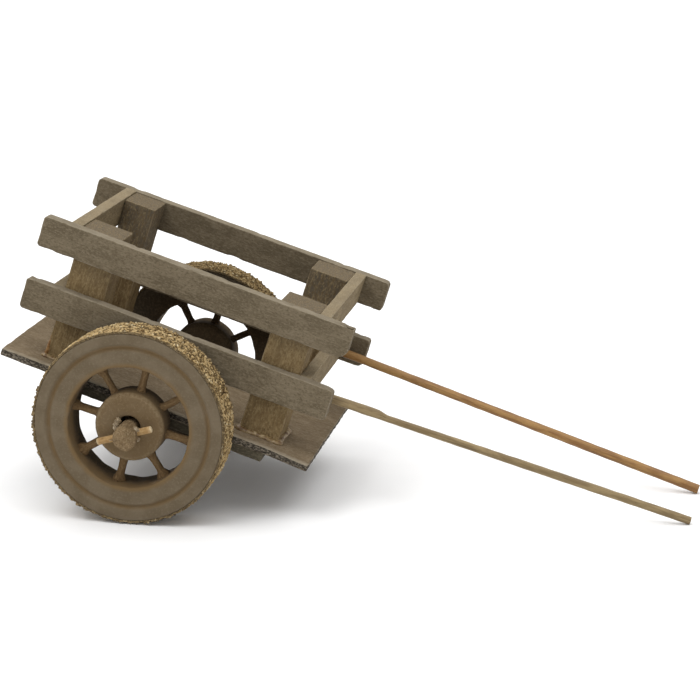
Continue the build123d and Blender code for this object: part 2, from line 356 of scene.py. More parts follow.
class Look:
    """A procedural material, built one node at a time. Sizes are in millimetres."""

    def __init__(self, name, roughness, specular=0.25):
        self.material = bpy.data.materials.new(name)
        self.material.use_nodes = True
        self.nodes = self.material.node_tree.nodes
        self.links = self.material.node_tree.links
        self.shader = self.nodes["Principled BSDF"]
        self.shader.inputs["Roughness"].default_value = roughness
        self.shader.inputs["Specular IOR Level"].default_value = specular
        self.place = self.add("ShaderNodeTexCoord").outputs["Object"]
        self.colour = None

    def add(self, kind, inputs=None, **settings):
        """A node with those settings; each input is a value or another node's output."""
        node = self.nodes.new(kind)
        for name, value in settings.items():
            setattr(node, name, value)
        for key, value in (inputs or {}).items():
            if isinstance(value, bpy.types.NodeSocket):
                self.links.new(value, node.inputs[key])
            else:
                node.inputs[key].default_value = value
        return node

    def spread(self, lengths, shift=0.0):
        """Coordinates in which a lump of those lengths is one unit."""
        scale = [1 / (length * MM) for length in lengths]
        inputs = {"Vector": self.place, "Location": (shift, shift * 0.7, shift * 1.3), "Scale": scale}
        return self.add("ShaderNodeMapping", inputs).outputs["Vector"]

    def noise(self, lengths, detail, shift, distortion=0.0):
        """Cloudy noise, about 0.3 to 0.7."""
        inputs = {"Vector": self.spread(lengths, shift), "Scale": 1.0, "Detail": detail,
                  "Roughness": 0.6, "Distortion": distortion}
        return self.add("ShaderNodeTexNoise", inputs).outputs["Fac"]

    def cells(self, lengths, shift):
        """Distance to the nearest of scattered points."""
        inputs = {"Vector": self.spread(lengths, shift), "Scale": 1.0}
        return self.add("ShaderNodeTexVoronoi", inputs).outputs["Distance"]

    def given(self, name):
        """The mesh's own value of that name."""
        return self.add("ShaderNodeAttribute", attribute_name=name).outputs["Fac"]

    def ramp(self, value, low, high, start=0.0, stop=1.0):
        """start below low, stop above high, smooth between them."""
        inputs = {"Value": value, "From Min": low, "From Max": high, "To Min": start, "To Max": stop}
        return self.add("ShaderNodeMapRange", inputs, interpolation_type="SMOOTHSTEP").outputs["Result"]

    def times(self, first, second):
        """The product of two values."""
        return self.add("ShaderNodeMath", {0: first, 1: second}, operation="MULTIPLY").outputs["Value"]

    def mix(self, share, first, second):
        """The first colour where share is 0 and the second where it is 1."""
        inputs = {"Factor": share, COLOUR_A: first, COLOUR_B: second}
        return self.add("ShaderNodeMix", inputs, data_type="RGBA").outputs[COLOUR_RESULT]

    def lay(self, shade, share):
        """That share of the shade over the colour so far."""
        self.colour = self.mix(share, self.colour, shade)

    def layer(self, shade, value, low, high, most=1.0):
        """The shade over the colour so far: none where the value is low, and most where it is high."""
        self.lay(shade, self.ramp(value, low, high, 0.0, most))

    def bump(self, *layers):
        """Relief: each layer is (height value, its height in millimetres)."""
        normal = None
        for height, depth in layers:
            inputs = {"Height": height, "Distance": depth * MM, "Strength": 1.0}
            if normal:
                inputs["Normal"] = normal
            normal = self.add("ShaderNodeBump", inputs).outputs["Normal"]
        self.links.new(normal, self.shader.inputs["Normal"])

    def finish(self, roughness=None):
        """The material, with the colour so far and, if given, that varying roughness."""
        self.links.new(self.colour, self.shader.inputs["Base Color"])
        if roughness:
            self.links.new(roughness, self.shader.inputs["Roughness"])
        return self.material


def wood(name, face, dark, light, worn, fibre=(3.2, 0.42), streaks=0.4, specks=0.5, relief=0.12,
         roughness=0.9, grey=tone(82, 76, 64)):
    """Weathered wood whose grain runs along the local X axis. fibre is the length and the width of
    its fibres, and streaks and specks are how strongly fibres and pores show."""
    look = Look(name, roughness, 0.15)
    broad = look.noise((9.0, 4.0, 4.0), 3, 1.0)
    fibres = look.noise((fibre[0], fibre[1], fibre[1]), 4, 2.0, 0.6)
    fuzz = look.noise((0.9, 0.5, 0.5), 5, 3.0)
    pores = look.cells((1.3, 0.75, 0.75), 4.0)
    look.colour = look.mix(look.ramp(broad, 0.38, 0.62, 0.0, 0.7), face, dark)
    look.layer(light, fibres, 0.5, 0.7, streaks)
    look.layer(dark, fibres, 0.45, 0.3, streaks)
    # Grey by the dusky value: dust on the posts, and painted shade on the underside of the bed and on the
    # inner sides of the spokes.
    dust_and_shade_tone = look.mix(look.ramp(fibres, 0.4, 0.65, 0.0, 0.45), grey, face)
    look.lay(dust_and_shade_tone, look.given("dusky"))
    look.layer(light, fuzz, 0.52, 0.64, 0.55)
    look.layer(dark, fuzz, 0.47, 0.36, 0.75)
    look.layer(tone(54, 45, 33), pores, 0.17, 0.05, specks)
    scuffed = look.ramp(look.noise((3.0, 1.2, 1.2), 3, 5.0), 0.34, 0.62)
    worn_share = look.times(look.ramp(look.given("wear"), 0.15, 0.6), scuffed)
    look.lay(worn, look.times(worn_share, 0.65))
    # pale: pale wear and dust, and on the upward faces of the rails also painted top light.
    look.lay(worn, look.given("pale"))
    soot = look.mix(look.ramp(fuzz, 0.45, 0.62), tone(40, 38, 34), tone(116, 108, 96))
    look.lay(soot, look.given("sooty"))
    look.bump((fibres, relief), (fuzz, relief * 0.8), (look.ramp(pores, 0.2, 0.04), -relief * 0.8))
    return look.finish()


def cork(name, shift, shade_share):
    """Cork crumbs: each crumb has its own tone, with dark gaps between. shade_share is how much painted
    shade darkens it.
    """
    look = Look(name, 0.95, 0.1)
    crumb = look.given("crumb")
    fine = look.noise((0.45, 0.45, 0.45), 4, shift)
    chips = look.cells((0.55, 0.55, 0.55), shift + 3)
    look.colour = look.mix(look.ramp(crumb, 0.12, 0.35), tone(88, 67, 40), tone(158, 133, 91))
    look.layer(tone(182, 157, 113), crumb, 0.45, 0.75)
    look.layer(tone(205, 189, 154), crumb, 0.88, 0.97)
    look.layer(tone(188, 166, 124), fine, 0.52, 0.68, 0.6)
    look.layer(tone(88, 64, 36), fine, 0.46, 0.32, 0.6)
    look.layer(tone(202, 186, 150), chips, 0.2, 0.08, 0.7)
    look.layer(tone(50, 37, 20), look.given("gap"), 0.25, 0.8, 0.85)
    # Painted shade over the whole tread, by shade_share.
    look.lay(tone(66, 52, 28), look.ramp(fine, 0.25, 0.6, shade_share * 1.3, shade_share * 0.8))
    painted_edge = look.times(look.given("rim"), look.ramp(fine, 0.62, 0.4, 0.55, 0.95))
    look.lay(tone(100, 86, 65), painted_edge)
    look.bump((fine, 0.2), (chips, -0.1))
    return look.finish()


def painted(name, face, dark, light, shift):
    """Matte dusty paint over wood, with ochre showing where it is thin, and painted shade on the inner side
    of the wheel.
    """
    look = Look(name, 0.9, 0.2)
    broad = look.noise((7.0, 7.0, 7.0), 3, shift)
    dust = look.noise((0.7, 0.7, 0.7), 4, shift + 1)
    grit = look.cells((1.1, 1.1, 1.1), shift + 2)
    look.colour = look.mix(look.ramp(broad, 0.35, 0.65), face, dark)
    look.layer(light, dust, 0.5, 0.7, 0.5)
    thin = look.times(look.given("warm"), look.ramp(broad, 0.25, 0.55, 0.45, 0.95))
    look.lay(tone(104, 84, 56), thin)
    look.layer(tone(56, 48, 36), grit, 0.12, 0.04, 0.45)
    look.lay(light, look.times(look.given("wear"), look.ramp(dust, 0.35, 0.6)))
    # Painted shade: darker towards the inner face of the wheel, where the cart shades it.
    grime = look.times(look.given("grime"), look.ramp(dust, 0.7, 0.4, 0.5, 0.85))
    look.lay(tone(52, 44, 34), grime)
    look.bump((broad, 0.12), (dust, 0.06), (look.ramp(grit, 0.15, 0.03), -0.06))
    return look.finish()


def bamboo(name, face, dark, light, shift):
    """A split bamboo stick: long fibres, with a slight gloss where it is smooth."""
    look = Look(name, 0.55, 0.4)
    fibres = look.noise((38.0, 0.35, 0.35), 4, shift)
    patches = look.noise((9.0, 1.6, 1.6), 3, shift + 1)
    nicks = look.noise((1.5, 0.4, 0.4), 3, shift + 2)
    look.colour = look.mix(look.ramp(patches, 0.36, 0.62), face, light)
    look.layer(dark, fibres, 0.52, 0.66, 0.7)
    look.layer(light, fibres, 0.42, 0.3, 0.6)
    look.layer(tone(70, 52, 30), nicks, 0.64, 0.74, 0.6)
    look.bump((fibres, 0.08), (nicks, 0.03))
    return look.finish(look.ramp(patches, 0.3, 0.7, 0.45, 0.7))


def glue(name, face, light, amber):
    """Dried glue: cream where it is thick, amber where it is thin, with specks of sawdust."""
    look = Look(name, 0.45, 0.45)
    cloud = look.noise((1.4, 1.4, 1.4), 3, 1.0)
    dust = look.cells((0.6, 0.6, 0.6), 2.0)
    look.colour = look.mix(look.ramp(cloud, 0.35, 0.62), amber, face)
    look.layer(light, cloud, 0.58, 0.75)
    look.layer(tone(74, 60, 42), dust, 0.2, 0.05, 0.6)
    look.bump((cloud, 0.15), (dust, 0.05))
    return look.finish()


RAIL_WOOD = wood("rail_wood", tone(106, 95, 77), tone(85, 75, 58), tone(122, 111, 92), tone(142, 132, 114))
CROSS_WOOD = wood("cross_rail_wood", tone(124, 109, 83), tone(101, 87, 64), tone(140, 126, 100),
                  tone(146, 135, 114))
# bed_wood's grey is the dark tone of the painted shade on the bed's underside.
BED_WOOD = wood("bed_wood", tone(118, 103, 82), tone(98, 84, 64), tone(136, 122, 100), tone(156, 147, 130),
                fibre=(5.0, 0.5), specks=0.6, grey=tone(56, 47, 35))
POST_WOOD = wood("post_wood", tone(122, 103, 72), tone(98, 80, 53), tone(142, 124, 91), tone(142, 127, 101),
                 fibre=(7.0, 0.75), streaks=0.5, specks=0.8, relief=0.2, grey=tone(86, 79, 68))
RUNNER_WOOD = wood("runner_wood", tone(84, 78, 64), tone(62, 57, 46), tone(104, 97, 81), tone(114, 106, 90))
AXLE_WOOD = wood("axle_wood", tone(122, 102, 75), tone(92, 75, 52), tone(150, 131, 102), tone(158, 141, 114),
                 fibre=(1.6, 0.6), specks=0.8, relief=0.2)
# spoke_wood's grey is the painted shade on the inward sides of the spokes.
SPOKE_WOOD = wood("spoke_wood", tone(104, 83, 56), tone(80, 61, 40), tone(124, 103, 74), tone(132, 113, 84),
                  fibre=(5.0, 0.4), grey=tone(44, 38, 30))
PIN_WOOD = wood("toothpick_wood", tone(152, 122, 80), tone(124, 94, 58), tone(172, 146, 104),
                tone(196, 178, 144), fibre=(9.0, 0.35), specks=0.3, relief=0.05, roughness=0.7)
RING_PAINT = painted("wheel_paint", tone(103, 91, 73), tone(94, 82, 64), tone(112, 101, 83), 1.0)
HUB_PAINT = painted("hub_paint", tone(102, 87, 66), tone(90, 75, 54), tone(128, 111, 85), 5.0)
# The left tread is darkened by painted shade (shade_share 0.45); the right one has none.
TREAD_CORK = {"right": cork("tread_cork_right", 1.0, 0.0), "left": cork("tread_cork_left", 4.0, 0.45)}
GOLDEN = bamboo("bamboo_golden", tone(121, 84, 40), tone(86, 57, 25), tone(148, 113, 65), 1.0)
DULL = bamboo("bamboo_dull", tone(112, 93, 60), tone(78, 62, 36), tone(138, 119, 84), 6.0)
GLUE = glue("dried_glue", tone(142, 121, 86), tone(192, 176, 144), tone(92, 67, 38))
AMBER = glue("amber_glue", tone(134, 98, 56), tone(160, 126, 82), tone(104, 72, 36))
SAWDUST = glue("sawdust_glue", tone(138, 122, 96), tone(176, 166, 146), tone(100, 82, 56))


# ---- Boards, runners and posts ----

LEVELS = ("lower", "upper")
ENDS = ("front", "rear")
POST_PLACES = [(end, side) for end in ENDS for side in SIDES]
BED_LOW, BED_HIGH = local_box("bed_board", ALONG)
POST_LOW, POST_HIGH = local_box("post_front_right", UPRIGHT)


def board_piece(node, matrix, material, slot, seed, step=(1.3, 0.8, 0.8), corner=(0.25, 0.7), relief=0.05,
                **shaping):
    """Worn board in place of a CAD node; shaping is passed on to worn_box."""
    low, high = local_box(node, matrix)
    shape = Shape()
    worn_box(shape, low, high, step, corner, relief, seed, **shaping)
    make_piece(f"{node}_worn", shape, matrix, material, "chassis", [node])


# Corner radii of each side rail: rear low, rear high, front low and front high
RAIL_ENDS = {
    "lower_right": (1.3, 1.0, 1.5, 1.6),
    "upper_right": (1.1, 1.4, 3.2, 0.8),
    "lower_left": (1.2, 1.1, 2.4, 1.2),
    "upper_left": (1.0, 1.4, 1.1, 1.5),
}


WAVE_STRETCH = 0.3  # waves on a board are longer along it than across it
WAVE_DEPTH = 0.12
CHIP_DEPTH = 0.35
END_NOTCH_DEPTH = 1.5  # in the top of the right upper rail
END_NOTCH_PLACE = 1.8  # back from the rail's front end
LOW_NOTCH_DEPTH = 0.8  # in the underside of the left upper rail
LOW_NOTCH_PLACE = 2.0  # ahead of the axle


def along_grain(point, stretch):
    """That point with its place along the grain shortened, for lumps that are long."""
    return point[0] * stretch, point[1], point[2]


def rail_dents(level, side):
    """Hollows of one side rail: long shallow waves, and the nicks it has picked up."""
    low, high = local_box(f"side_rail_{level}_{side}", ALONG)
    seed = 3 if level == "upper" else 11

    def dent(point, normal):
        waves = WAVE_DEPTH * wander(along_grain(point, WAVE_STRETCH), 3.0, seed)
        chips = -CHIP_DEPTH * blend01(0.25, 0.6, wander(point, 2.4, seed + 4)) * abs(normal[2])
        notch = 0.0
        if (level, side) == ("upper", "right"):
            near_end = blend01(2.0, 0.3, abs(point[0] - high[0] + END_NOTCH_PLACE))
            notch = -END_NOTCH_DEPTH * near_end * blend01(high[2] - 1.6, high[2], point[2]) * abs(normal[2])
        if (level, side) == ("upper", "left"):
            near_middle = blend01(2.4, 0.6, abs(point[0] - LOW_NOTCH_PLACE))
            notch = -LOW_NOTCH_DEPTH * near_middle * blend01(low[2] + 1.0, low[2], point[2]) * abs(normal[2])
        return waves + chips + notch

    return dent


BOW_SIZE = 0.25


def bow(low, high, seed):
    """A slight bend of a whole board."""
    span = high[0] - low[0]

    def warp(point):
        share = (point[0] - low[0]) / span
        sideways, upwards = (wander((share * 2, lane, 0), 1.0, seed) for lane in (0, 5))
        return 0.0, BOW_SIZE * sideways, BOW_SIZE * upwards

    return warp


def top_light_and_dust_marks(amount):
    """Pale dust and painted top light on the upward faces of a board."""

    def marks(point, normal):
        patchy = 0.75 + 0.5 * wander(point, 2.5, 26)
        # Painted highlight: upward faces are paler, partly as dust and partly as light falling on their
        # tops.
        return {"pale": amount * patchy * blend01(0.55, 0.85, normal[2])}

    return marks


BED_WAVE_DEPTH = 0.1
SIDE_CRUMB_DEPTH = 0.55
FRONT_CRUMB_DEPTH = 0.4
PALE_STRIP = (0.9, 2.6)  # in from the right edge: where the pale strip fades, and where it ends
DROOP = 0.7  # of the front right corner
DROOP_LENGTH = 16.0
DROOP_WIDTH = 14.0


def bed_dent(point, normal):
    """Chipped right edge, crumbled front edge and long shallow waves."""
    waves = BED_WAVE_DEPTH * wander(along_grain(point, WAVE_STRETCH), 4.0, 21)
    right = blend01(-0.2, -0.8, normal[1])
    right_crumbs = blend01(-0.1, 0.5, wander((point[0], 0, point[2] * 2), 2.2, 22))
    front = blend01(0.2, 0.8, normal[0])
    front_crumbs = blend01(-0.1, 0.5, wander((0, point[1], point[2] * 2), 2.6, 23))
    return waves - SIDE_CRUMB_DEPTH * right * right_crumbs - FRONT_CRUMB_DEPTH * front * front_crumbs


def bed_marks(point, normal):
    """Pale worn strip along the right top edge, sooty side and front edges, and painted shade on the
    underside.
    """
    from_edge = point[1] - BED_LOW[1] + 0.7 * wander(point, 3.0, 24)
    strip = blend01(PALE_STRIP[1], PALE_STRIP[0], from_edge)
    side = blend01(-0.25, -0.75, normal[1])
    front = blend01(0.3, 0.8, normal[0])
    patchy = 0.55 + 0.45 * wander(point, 2.0, 25)
    on_top = blend01(0.2, 0.7, normal[2])
    # The underside is darkened: painted shade under the bed.
    underneath = blend01(-0.2, -0.7, normal[2])
    return {"pale": 0.75 * strip * patchy * on_top, "dusky": 0.95 * underneath,
            "sooty": (0.1 + 0.8 * max(side, front)) * (1 - on_top) * (1 - underneath)}


def bed_warp(point):
    """The front right corner droops and thins."""
    along = blend01(BED_HIGH[0] - DROOP_LENGTH, BED_HIGH[0], point[0])
    over = blend01(BED_LOW[1] + DROOP_WIDTH, BED_LOW[1], point[1])
    top = (point[2] - BED_LOW[2]) / (BED_HIGH[2] - BED_LOW[2])
    return 0.0, 0.0, -DROOP * along * over * (0.6 + 0.4 * top)


board_piece("bed_board", ALONG, BED_WOOD, "bed_wood", 20, (1.2, 1.2, 0.6), (0.2, 0.6), dent=bed_dent,
            marks=bed_marks, warp=bed_warp)

for number, (level, side) in enumerate((level, side) for level in LEVELS for side in SIDES):
    node = f"side_rail_{level}_{side}"
    low, high = local_box(node, ALONG)
    board_piece(node, ALONG, RAIL_WOOD, "rail_wood", 30 + number, dent=rail_dents(level, side),
                warp=bow(low, high, number), ends=RAIL_ENDS[f"{level}_{side}"], marks=top_light_and_dust_marks(0.6))

for number, (level, end) in enumerate((level, end) for level in LEVELS for end in ENDS):
    board_piece(f"cross_rail_{level}_{end}", ACROSS, CROSS_WOOD, "rail_wood", 40 + number, (1.2, 0.7, 0.8),
                (0.2, 0.5), marks=top_light_and_dust_marks(0.35))

for number, (end, side) in enumerate(POST_PLACES):
    board_piece(f"bed_runner_{end}_{side}", ALONG, RUNNER_WOOD, "axle_wood", 50 + number, (1.4, 1.2, 0.7),
                (0.2, 0.8), relief=0.1)


POST_GROOVE_DEPTH = 0.3
POST_GROOVE_STRETCH = 0.12
POST_WAVE_DEPTH = 0.1


def post_dent(point, normal):
    """Long grooves between the fibres."""
    groove = blend01(0.15, 0.6, wander(along_grain(point, POST_GROOVE_STRETCH), 1.1, 60))
    waves = POST_WAVE_DEPTH * wander(point, 5.0, 61)
    return waves - POST_GROOVE_DEPTH * groove * (1 - abs(normal[0]))


def post_marks(point, normal):
    """Dust has greyed the tops and the upper halves of the posts, more on the left."""
    share = (point[0] - POST_LOW[0]) / (POST_HIGH[0] - POST_LOW[0]) + 0.12 * wander(point, 5.0, 62)
    upper = blend01(0.3, 0.75, share) if point[1] > 0 else 0.6 * blend01(0.5, 0.95, share)
    return {"dusky": 0.9 * max(upper, blend01(0.4, 0.9, abs(normal[0])))}


for number, (end, side) in enumerate(POST_PLACES):
    board_piece(f"post_{end}_{side}", UPRIGHT, POST_WOOD, "post_wood", 60 + number, (1.5, 0.6, 0.6),
                (0.3, 0.9), dent=post_dent, marks=post_marks)


# ---- Glue round the posts ----


BEAD_STEP = 0.45
BEAD_LAYERS = 6
BEAD_ROOT = 0.5  # how far the bead reaches into the post
BEAD_SINK = 0.02  # how far it reaches into the bed
BEAD_OVERLAP = 0.25


def bead_piece(end, side, seed):
    """Uneven bead of dried glue round the foot of a post."""
    node = f"glue_bead_{end}_{side}"
    low, high = local_box(f"post_{end}_{side}", ALONG)
    bed_top = local_box(node, ALONG)[0][2]
    corners = [(low[0], low[1]), (high[0], low[1]), (high[0], high[1]), (low[0], high[1])]
    route = filled_outline(rounded_outline(corners, 0.8), BEAD_STEP)
    shape, rows = Shape(), []
    for index, place in enumerate(route):
        along = route[(index + 1) % len(route)] - route[index - 1]
        out = Vector((along.y, -along.x)).normalized()
        swell = 0.5 + 0.5 * wander((place[0], place[1], 0), 4.5, seed)
        at_corner = blend01(1.6, 0.2, min((place - Vector(corner)).length for corner in corners))
        width = 0.6 + 1.2 * swell + 0.5 * at_corner
        height = 0.45 + 0.9 * (0.5 + 0.5 * wander((place[0], place[1], 9), 3.5, seed)) + 0.4 * at_corner
        row = []
        for step in range(BEAD_LAYERS + 1):
            angle = pi / 2 * step / BEAD_LAYERS
            reach = (width + BEAD_OVERLAP) * cos(angle) ** 0.8 - BEAD_OVERLAP
            reach += 0.12 * wander((place[0], place[1], step), 0.9, seed + 3)
            spot = place + out * reach
            row.append(shape.add((spot.x, spot.y, bed_top + height * sin(angle) ** 0.9 - BEAD_SINK)))
        inside = place - out * BEAD_ROOT
        row.append(shape.add((inside.x, inside.y, bed_top + height * 0.6)))
        row.append(shape.add((inside.x, inside.y, bed_top - BEAD_SINK)))
        rows.append(row)
    shape.grid(rows + [rows[0]])
    make_piece(f"{node}_wavy", shape, ALONG, GLUE, "chassis", [node])


for number, (end, side) in enumerate(POST_PLACES):
    bead_piece(end, side, 70 + number)


STREAK_START = 0.4  # above the foot of the post
STREAK_LENGTH = 6.5
STREAK_STEPS = 14
STREAK_RADIUS = 0.75
STREAK_TAPER = 0.035
STREAK_INSET = 0.3  # its centre from the two faces of the post


def streak_piece():
    """Run of amber glue up the outer rear edge of the right rear post."""
    low, high = local_box("post_rear_right", UPRIGHT)
    start = low[0] + STREAK_START
    sections = []
    for step, rise in enumerate(spaced(start, start + STREAK_LENGTH, STREAK_STEPS)):
        radius = STREAK_RADIUS - STREAK_TAPER * step + 0.15 * wander((rise, 0, 0), 1.3, 75)
        sections.append((rise, max(radius, 0.12), 0.25 * wander((rise, 3, 0), 2.0, 76)))
    shape = Shape()
    stick(shape, sections, 12, 77, 0.1, 0.2, (low[1] + STREAK_INSET, high[2] - STREAK_INSET))
    make_piece("glue_streak_rear_right", shape, UPRIGHT, AMBER, "chassis", sharp=60)


streak_piece()


# ---- Axle ----

BEAM_EDGE = 3.9  # only the beam reaches this far from the axis of the arms
ARM_STEPS = 48
ARM_ROOT = 0.6  # how far an arm starts inside the beam
ARM_SLACK = 0.35  # how much thinner than its CAD arm it is inside the hub
ARM_DROP = 0.27  # how much lower it lies there
COLLAR_LENGTH = {"right": 2.0, "left": 0.9}
COLLAR_SWELL = 2.2
KNOB_SWELL = 0.95
KNOB_DROP = 1.2
KNOB_FORWARD = 0.8
KNOB_START = 5.0  # back from the tip, where the knob begins and where it is full
KNOB_FULL = 2.2
TIP_ROUNDING = 0.9

# Lumps of glue round the arm: place along the pin, above it, out from it, and size
DAB_LUMPS = ((-1.0, 4.6, -1.0, 1.0), (-1.7, 3.7, -0.9, 1.05), (-2.1, 2.7, -0.7, 0.9), (3.9, 0.9, 0.3, 1.2),
             (4.8, 0.5, 0.2, 0.9), (3.4, -1.6, 0.2, 1.2), (-1.3, -1.3, 0.7, 1.2), (1.0, -2.9, 0.3, 1.3))


def stick_frame(node, up):
    """Frame of a straight CAD stick with X along it and Z near that direction, its length and its
    radius."""
    points = [vertex.co for vertex in frame["nodes"][node].data.vertices]
    centre = sum(points, Vector()) / len(points)
    far = max(points, key=lambda point: (point - centre).length)
    along = (far - centre).normalized()
    places = [(point - centre).dot(along) for point in points]
    ends = []
    for edge in (min(places), max(places)):
        group = [point for point, place in zip(points, places) if abs(place - edge) < 3 * MM]
        ends.append(sum(group, Vector()) / len(group))
    along = (ends[1] - ends[0]).normalized()
    places = [(point - centre).dot(along) for point in points]
    start = centre + along * min(places)
    z_axis = (up - along * up.dot(along)).normalized()
    matrix = axes_matrix(along, z_axis.cross(along), z_axis, start)
    low, high = local_box(node, matrix)
    return matrix, (max(places) - min(places)) / MM, (high[1] - low[1]) / 2


def arm_sections(out, beam_end, tip, radius, collar):
    """Places, radii, lifts and roughness of one round arm: a collar at the beam, the part inside
    the hub, and a knob where the linchpin goes through."""
    length = abs(tip - beam_end)
    sections = []
    for place in spaced(-ARM_ROOT, length, ARM_STEPS):
        swell = blend01(length - KNOB_START, length - KNOB_FULL, place)
        edge = blend01(length - TIP_ROUNDING, length, place)
        reach = radius - ARM_SLACK + KNOB_SWELL * swell - TIP_ROUNDING * edge ** 2
        reach += COLLAR_SWELL * blend01(collar, collar - 0.3, place)
        lift = -ARM_DROP - (KNOB_DROP - ARM_DROP) * swell
        sections.append((beam_end + out * place, reach, lift, 0.03 + 0.3 * swell))
    sections.append((tip, radius * 0.45, -KNOB_DROP))
    return sections


def axle_piece():
    """Squared beam with a round arm at each end."""
    low, high = local_box("axle_beam", ACROSS)
    points = local_points("axle_beam", ACROSS)
    beam_low, beam_high = box_of([point for point in points if abs(point.y) > BEAM_EDGE])
    arm_low, arm_high = box_of([point for point in points if point.x > high[0] - 2])
    radius = (arm_high[1] - arm_low[1]) / 2
    centre = ((arm_low[1] + arm_high[1]) / 2, (arm_low[2] + arm_high[2]) / 2)
    shape = Shape()
    worn_box(shape, beam_low, beam_high, (1.4, 0.9, 0.9), (0.2, 0.6), 0.08, 80)
    for number, (side, out) in enumerate(SIDES.items()):
        beam_end, tip = (beam_high[0], high[0]) if out > 0 else (beam_low[0], low[0])
        first = len(shape.points)
        sections = arm_sections(out, beam_end, tip, radius, COLLAR_LENGTH[side])
        stick(shape, sections, 40, 81 + number, 0.1, 0.0, centre)
        for index in range(first, len(shape.points)):
            x, y, z = shape.points[index]
            shape.points[index] = (x, y - KNOB_FORWARD * blend01(KNOB_START, KNOB_FULL, abs(tip - x)), z)
    make_piece("axle_beam_worn", shape, ACROSS, AXLE_WOOD, "chassis", ["axle_beam"], 50)


axle_piece()


# ---- Wheels ----


def wheel_frame(side, turn=0.0):
    """Frame of a wheel with Z pointing out of the cart. Turns are multiples of a right angle, so
    that the box of a round piece is no larger than the piece."""
    x_axis = Vector((cos(turn), 0, sin(turn)))
    return axes_matrix(x_axis, OUT[side].cross(x_axis), OUT[side], wheel_centre[f"wheel_{side}"])


def round_size(node, matrix):
    """Smallest and largest radius and lowest and highest place of a round CAD node."""
    points = local_points(node, matrix)
    radii = [hypot(point.x, point.y) for point in points]
    places = [point.z for point in points]
    return min(radii), max(radii), min(places), max(places)


GROOVE_RADIUS = 25.4
GROOVE_WIDTH = 1.15
GROOVE_DEPTH = 0.75
BAND_STEP = 0.35  # how far the band inside the groove lies below the rest
RING_SEGMENTS = 240
FACE_STEPS = 36
WALL_STEPS = 9
RING_BEVEL = 0.12
RING_EDGE = 0.5  # where the ring's bevels begin, from each edge
FACE_EDGE = 0.4  # the same at the outer edge of the face


def ring_face(radius):
    """How far the face of the ring lies below its highest plane."""
    groove = GROOVE_DEPTH * blend01(GROOVE_WIDTH, 0.0, abs(radius - GROOVE_RADIUS))
    return groove + BAND_STEP * blend01(GROOVE_RADIUS + 0.4, GROOVE_RADIUS - 0.4, radius)


def ring_piece(side):
    """Turned ring of a wheel, with its stepped and grooved face."""
    node, matrix = f"wheel_ring_{side}", wheel_frame(side, 0.0 if side == "right" else pi)
    inner, outer, low, high = round_size(node, matrix)
    band = high - BAND_STEP
    outline = [(radius, high - ring_face(radius))
               for radius in spaced(inner + RING_EDGE, outer - FACE_EDGE, FACE_STEPS)]
    outline += [(outer - RING_BEVEL, high - RING_BEVEL), (outer, high - RING_EDGE)]
    outline += [(outer, low + RING_EDGE), (outer - RING_BEVEL, low + RING_BEVEL)]
    outline += [(radius, low) for radius in (outer - RING_EDGE, (inner + outer) / 2, inner + RING_EDGE)]
    outline += [(inner + RING_BEVEL, low + RING_BEVEL)]
    outline += [(inner, place) for place in spaced(low + RING_EDGE, band - RING_EDGE, WALL_STEPS)]
    outline += [(inner + RING_BEVEL, band - RING_BEVEL)]

    def jitter(radius, place):
        at_opening = blend01(inner + 1.5, inner, radius)
        return at_opening * 0.28 * wander(place, 3.0, 91) + 0.04 * wander(place, 1.2, 92)

    # grime is painted shade, rising towards the inner face of the ring.
    def values(radius, height, place):
        opening = blend01(inner + 1.9, inner + 0.4, radius)
        groove = 0.9 * blend01(GROOVE_WIDTH, 0.1, abs(radius - GROOVE_RADIUS + 0.15))
        edge = 0.5 * blend01(outer - 0.9, outer, radius)
        return {"warm": max(opening, groove), "wear": edge * (0.5 + 0.5 * wander(place, 3.0, 93)),
                "grime": blend01(high - 3.0, low + 4.0, height)}

    shape = Shape()
    lathe(shape, outline, RING_SEGMENTS, jitter, values)
    make_piece(f"{node}_worn", shape, matrix, RING_PAINT, f"wheel_{side}", [node], 60)


CRUMB_SIZE = 0.85
CRUMB_HEIGHT = 0.4  # between the lowest and the highest crumbs
CRACK_DEPTH = 0.4
FACE_RELIEF = 0.35  # of the crumbs on the two sides of the tread
TREAD_STEP = 0.36
TREAD_SEGMENTS = 620
TREAD_SHIFT = {"right": 0.0, "left": 400.0}  # each tread has crumbs of its own


def tread_outline(inner, outer, low, high):
    """(radius, height) pairs round the section of a tread."""
    thickness = outer - inner
    outline = [(inner, high - 0.3), (inner + 0.3, high)]
    outline += [(inner + thickness * share, high) for share in (0.5, 0.8)]
    outline += [(outer, height) for height in spaced(high, low, round((high - low) / TREAD_STEP))]
    outline += [(inner + thickness * share, low) for share in (0.8, 0.5)]
    return outline + [(inner + 0.3, low), (inner, low + 0.3)]


